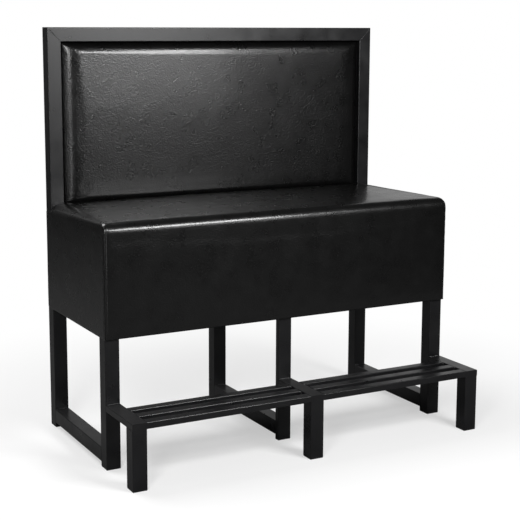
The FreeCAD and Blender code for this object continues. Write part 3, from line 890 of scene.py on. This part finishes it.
# Each slope falls by this share of the inset, ends at this inset and levels out over this length.
steep_roll, gentle_roll = (0.27, 28 * mm, 2 * mm), (0.23, 45 * mm, 3 * mm)
tuck_depth, tuck_reach = 6.5 * mm, 8 * mm
pad_crown, pad_crown_reach = 4 * mm, 50 * mm
deepest = 20.5 * mm
top_roll_share = 0.58
corner_power = 2.8
bottom_start = 9 * mm
least_inset = 0.01 * mm


def pad_inset(x, z):
    """How far in from the edge a point is. The roll is narrower at the top and the bottom, and at the
    bottom it starts some way in, because the seat pushes the pad forward there. In the corners, where
    the leather is gathered, lines of equal inset are rounded, the more the further in."""
    from_side = max(min(x - low.x, high.x - x), least_inset)
    from_end = max(min(z - low.z + bottom_start, high.z - z), least_inset) / top_roll_share
    return (from_side ** -corner_power + from_end ** -corner_power) ** (-1 / corner_power)


def eased(drop, end, spread, inset):
    """A slope of drop in 1 up to an inset of end, which levels out over about the spread."""
    return drop * spread * math.log(1 + math.exp((end - inset) / spread))


def pad_face(x, z):
    """Depth of the leather: tucked in at the frame, a steep and then a gentle roll, a low crown."""
    inset = pad_inset(x, z)
    rolled = eased(*steep_roll, inset) + eased(*gentle_roll, inset)
    tucked = tuck_depth * math.exp(-inset / tuck_reach)
    crown_left = pad_crown * math.exp(-inset / pad_crown_reach)
    return frame_face + min(rolled + tucked + crown_left - pad_proud, deepest)


def pad_places(start, end):
    """Places across the pad, close together at both edges."""
    inner_start, inner_end = start + edge_columns[-1], end - edge_columns[-1]
    count = round((inner_end - inner_start) / pad_step)
    middle = [inner_start + (inner_end - inner_start) * k / count for k in range(1, count)]
    return [start + e for e in edge_columns] + middle + [end - e for e in reversed(edge_columns)]


pad = bmesh.new()
pad_xs = pad_places(low.x, high.x)
pad_rows = [[pad.verts.new((x, pad_face(x, z), z)) for x in pad_xs] for z in pad_places(low.z, high.z)]
join_lines(pad, pad_rows)
pad_back = pad_base + pad_thick
back_rows = [[pad.verts.new((vert.co.x, pad_back, vert.co.z)) for vert in row] for row in pad_rows]
join_lines(pad, back_rows, flip=True)


def rim_of(grid):
    """The outer loop of a grid of vertices."""
    rim = [grid[0], [row[-1] for row in grid], grid[-1][::-1], [row[0] for row in grid][::-1]]
    return [vert for side in rim for vert in side[:-1]]


front_rim, back_rim = rim_of(pad_rows), rim_of(back_rows)
for index in range(len(front_rim)):
    pad.faces.new((front_rim[index - 1], back_rim[index - 1], back_rim[index], front_rim[index]))
bmesh.ops.recalc_face_normals(pad, faces=pad.faces)
pad.verts.ensure_lookup_table()
rim_hold, rim_hold_reach = 0.8, 10 * mm
pad_swell, pad_swell_reach = 0.8 * mm, 70 * mm


def pad_hold(point):
    """The board and the frame hold the rim; the face is free."""
    inset = pad_inset(point.x, point.z)
    return 1.0 if point.y > pad_base - 1 * mm else rim_hold * math.exp(-inset / rim_hold_reach)


def pad_cap(point):
    """The face may swell a little, less where it rolls in."""
    return pad_swell * smooth_step(pad_inset(point.x, point.z) / pad_swell_reach)


swell_by_cloth(pad, "pad_trial", pad_hold, pad_cap)
gap_closed, at_rim = 1 * mm, 0.5 * mm
pad_middle = (low.z + high.z) / 2
pad.normal_update()
moves = []
for vert in pad.verts:
    point = vert.co
    firm = smooth_step(pad_inset(point.x, point.z) / (40 * mm))
    corner_z = high.z if point.z > pad_middle else low.z
    corner_point = Vector((math.copysign(high.x, point.x), pad_base, corner_z))
    shift_out = radial_wrinkles(point, corner_point, 55 * mm, 14, 0.7 * mm) * firm
    shift_out += shallow_waves(point, firm, (0.3 * mm, 120 * mm), (0.1 * mm, 35 * mm))
    moves.append(vert.normal * shift_out)
for vert, move in zip(pad.verts, moves):
    vert.co += move
    # Pressed into the frame, the leather closes the gap round the board.
    vert.co.x += math.copysign(gap_closed, vert.co.x) * (abs(vert.co.x) > high.x - at_rim)
    vert.co.z += gap_closed * ((vert.co.z > high.z - at_rim) - (vert.co.z < low.z + at_rim))
back_leather = as_piece(pad, "back_leather", leather)
round_off(back_leather)
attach(back_leather, "root")
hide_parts("back_cover", "back_foam")

# Corner stitching. The front corners are closed by a row of black bonded thread, one stitch every
# 5 to 6 mm, just behind the seam on the bench's ends.

thread = new_material("bonded_polyester_thread")
place = add(thread, "TexCoord").outputs["Object"]
twist = add(
    thread, "TexWave", {"Scale": 1 / (3 * mm), "Distortion": 1.0}, {"Vector": place},
    bands_direction="DIAGONAL",
)
ply = add(thread, "Bump", {"Strength": 0.6, "Distance": 0.1 * mm}, {"Height": twist.outputs["Fac"]})
shader = add(
    thread, "BsdfPrincipled", {"Base Color": linear("#141414"), "Roughness": 0.55, "Sheen Weight": 0.2},
    {"Normal": ply.outputs["Normal"]},
)
add(thread, "OutputMaterial", links={"Surface": shader.outputs["BSDF"]})

seat_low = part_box("seat_cover")[0]
stitch_length, stitch_gap, thread_radius = 4 * mm, 1.6 * mm, 0.45 * mm
stitch_y = seat_low.y + corner_drop + 8 * mm
stitch_rings, thread_sides = 7, 6
stitches = bmesh.new()
for side in (-1, 1):
    z = seat_low.z + 8 * mm
    while z + stitch_length < roll_start:
        rings = []
        for step in range(stitch_rings):
            share = step / (stitch_rings - 1)
            bow = math.sin(math.pi * share)
            x = side * half + side * (0.1 + 0.35 * bow) * mm
            centre = Vector((x, stitch_y, z + stitch_length * share))
            radius = thread_radius * (0.5 + 0.5 * bow)
            ring = []
            for k in range(thread_sides):
                turn = 2 * math.pi * k / thread_sides
                offset = Vector((radius * math.cos(turn), radius * math.sin(turn), 0))
                ring.append(stitches.verts.new(centre + offset))
            rings.append(ring)
        join_lines(stitches, [ring + ring[:1] for ring in rings])
        stitches.faces.new(rings[0])
        stitches.faces.new(rings[-1][::-1])
        z += stitch_length + stitch_gap
corner_stitches = as_piece(stitches, "seat_corner_stitches", thread)
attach(corner_stitches, "root")

# Floor. A plain pale sheet that takes the bench's shadow. Further out it fades to white, as the
# ground of the photograph does.

floor_size = 14.0
floor_paint = new_material("pale_floor")
place = add(floor_paint, "TexCoord").outputs["Object"]
distance = add(floor_paint, "VectorMath", links={0: place}, operation="LENGTH")
fade = add(
    floor_paint, "MapRange", {"From Min": 0.5, "From Max": 1.7, "To Min": 0.5},
    {"Value": distance.outputs["Value"]}, interpolation_type="SMOOTHSTEP",
)
ray = add(floor_paint, "LightPath")
seen = add(
    floor_paint, "Math", links={0: fade.outputs["Result"], 1: ray.outputs["Is Camera Ray"]},
    operation="MULTIPLY",
)
floor_tone = add(
    floor_paint, "Mix", {6: linear("#666666"), 7: linear("#c4c4c4")}, {0: ray.outputs["Is Camera Ray"]},
    data_type="RGBA",
)
paint = add(floor_paint, "BsdfDiffuse", links={"Color": floor_tone.outputs[2]})
white = add(floor_paint, "Emission", {"Color": linear("#ffffff"), "Strength": 1.0})
mixed = add(
    floor_paint, "MixShader",
    links={0: seen.outputs["Value"], 1: paint.outputs["BSDF"], 2: white.outputs["Emission"]},
)
add(floor_paint, "OutputMaterial", links={"Surface": mixed.outputs["Shader"]})
floor_mesh = bmesh.new()
bmesh.ops.create_grid(floor_mesh, x_segments=1, y_segments=1, size=floor_size / 2)
floor = to_object(floor_mesh, "floor", floor_paint)

# Studio. The room is dim. A white backdrop stands behind the bench, square to the camera. Softboxes
# stand front right and left, so that the rolled leather shows light, dark and light bands, and one
# above the back lights the floor.

world = bpy.data.worlds.new("studio")
bpy.context.scene.world = world
world.use_nodes = True
world.node_tree.nodes.clear()
ray = add(world, "LightPath")
either = add(
    world, "Math", links={0: ray.outputs["Is Camera Ray"], 1: ray.outputs["Is Transmission Ray"]},
    operation="MAXIMUM",
)
room = add(world, "Background", {"Color": linear("#ffffff"), "Strength": 0.06})
clear_white = add(world, "Background", {"Color": linear("#ffffff"), "Strength": 1.0})
mixed = add(
    world, "MixShader",
    links={0: either.outputs["Value"], 1: room.outputs["Background"], 2: clear_white.outputs["Background"]},
)
add(world, "OutputWorld", links={"Surface": mixed.outputs["Shader"]})

camera_place = Vector((-1.8325, -3.3049, 1.2642))
camera_azimuth = math.radians(27.44)
camera_pitch = math.radians(8.81)
level = Vector((math.sin(camera_azimuth), math.cos(camera_azimuth), 0))
aside = Vector((level.y, -level.x, 0))

# The backdrop is white to the camera; what the bench reflects of it is dimmer towards the left.
backdrop_white = new_material("white_backdrop")
place = add(backdrop_white, "TexCoord").outputs["Object"]
along = add(backdrop_white, "VectorMath", {1: aside}, {0: place}, operation="DOT_PRODUCT")
lit = add(
    backdrop_white, "MapRange", {"From Min": 0.1, "From Max": 1.2, "To Min": 0.32, "To Max": 0.62},
    {"Value": along.outputs["Value"]}, interpolation_type="SMOOTHSTEP",
)
ray = add(backdrop_white, "LightPath")
brightness = add(
    backdrop_white, "Math", links={0: lit.outputs["Result"], 1: ray.outputs["Is Camera Ray"]},
    operation="MAXIMUM",
)
glow = add(
    backdrop_white, "Emission", {"Color": linear("#ffffff")}, {"Strength": brightness.outputs["Value"]}
)
add(backdrop_white, "OutputMaterial", links={"Surface": glow.outputs["Emission"]})
backdrop_away, backdrop_left, backdrop_right, backdrop_height = 4.6, 4.0, 3.0, 3.6
backdrop_corners = (
    (-backdrop_left, 0), (backdrop_right, 0), (backdrop_right, backdrop_height),
    (-backdrop_left, backdrop_height),
)
backdrop_mesh = bmesh.new()
backdrop_rim = [
    backdrop_mesh.verts.new(level * backdrop_away + aside * reach + Vector((0, 0, z)))
    for reach, z in backdrop_corners
]
backdrop_mesh.faces.new(backdrop_rim)
backdrop = to_object(backdrop_mesh, "backdrop", backdrop_white)
lamp_target = Vector((-0.3, 0.0, 0.8))


def softbox(name, place, width, height, brightness):
    """Rectangular lamp that faces the bench's left half. Its brightness is that of its face, where 1
    is white."""
    lamp = bpy.data.lights.new(name, "AREA")
    lamp.shape = "RECTANGLE"
    lamp.size = width
    lamp.size_y = height
    lamp.energy = brightness * math.pi * width * height
    holder = bpy.data.objects.new(name, lamp)
    bpy.context.scene.collection.objects.link(holder)
    holder.location = place
    holder.rotation_mode = "QUATERNION"
    holder.rotation_quaternion = (lamp_target - Vector(place)).to_track_quat("-Z", "Y")


softbox("front_right_softbox", (0.7, -2.15, 1.08), 1.0, 0.42, 6.6)
softbox("front_right_top_softbox", (0.7, -2.12, 2.0), 1.0, 0.6, 50.0)
softbox("left_softbox", (-2.2, -2.37, 1.8), 0.7, 1.3, 30.0)
softbox("left_low_softbox", (-2.2, -2.37, 0.35), 0.7, 0.6, 3.0)
softbox("rear_top_softbox", (-1.0, 1.6, 3.4), 2.2, 2.2, 10.0)

# Camera. Stands left of the bench's middle at chest height, fitted to the photograph's edges. The
# small shift is the photograph's own crop.

focal_pixels = 1206.9
picture = 520
picture_centre = (230, 220)
camera_data = bpy.data.cameras.new("camera")
camera_data.sensor_width = 36
camera_data.lens = focal_pixels / picture * camera_data.sensor_width
camera_data.shift_x = (picture / 2 - picture_centre[0]) / picture
camera_data.shift_y = (picture_centre[1] - picture / 2) / picture
camera = bpy.data.objects.new("camera", camera_data)
bpy.context.scene.collection.objects.link(camera)
camera.location = camera_place
looking = level * math.cos(camera_pitch) - Vector((0, 0, math.sin(camera_pitch)))
camera.rotation_mode = "QUATERNION"
camera.rotation_quaternion = looking.to_track_quat("-Z", "Y")
bpy.context.scene.camera = camera
bpy.context.scene.view_settings.view_transform = "Standard"
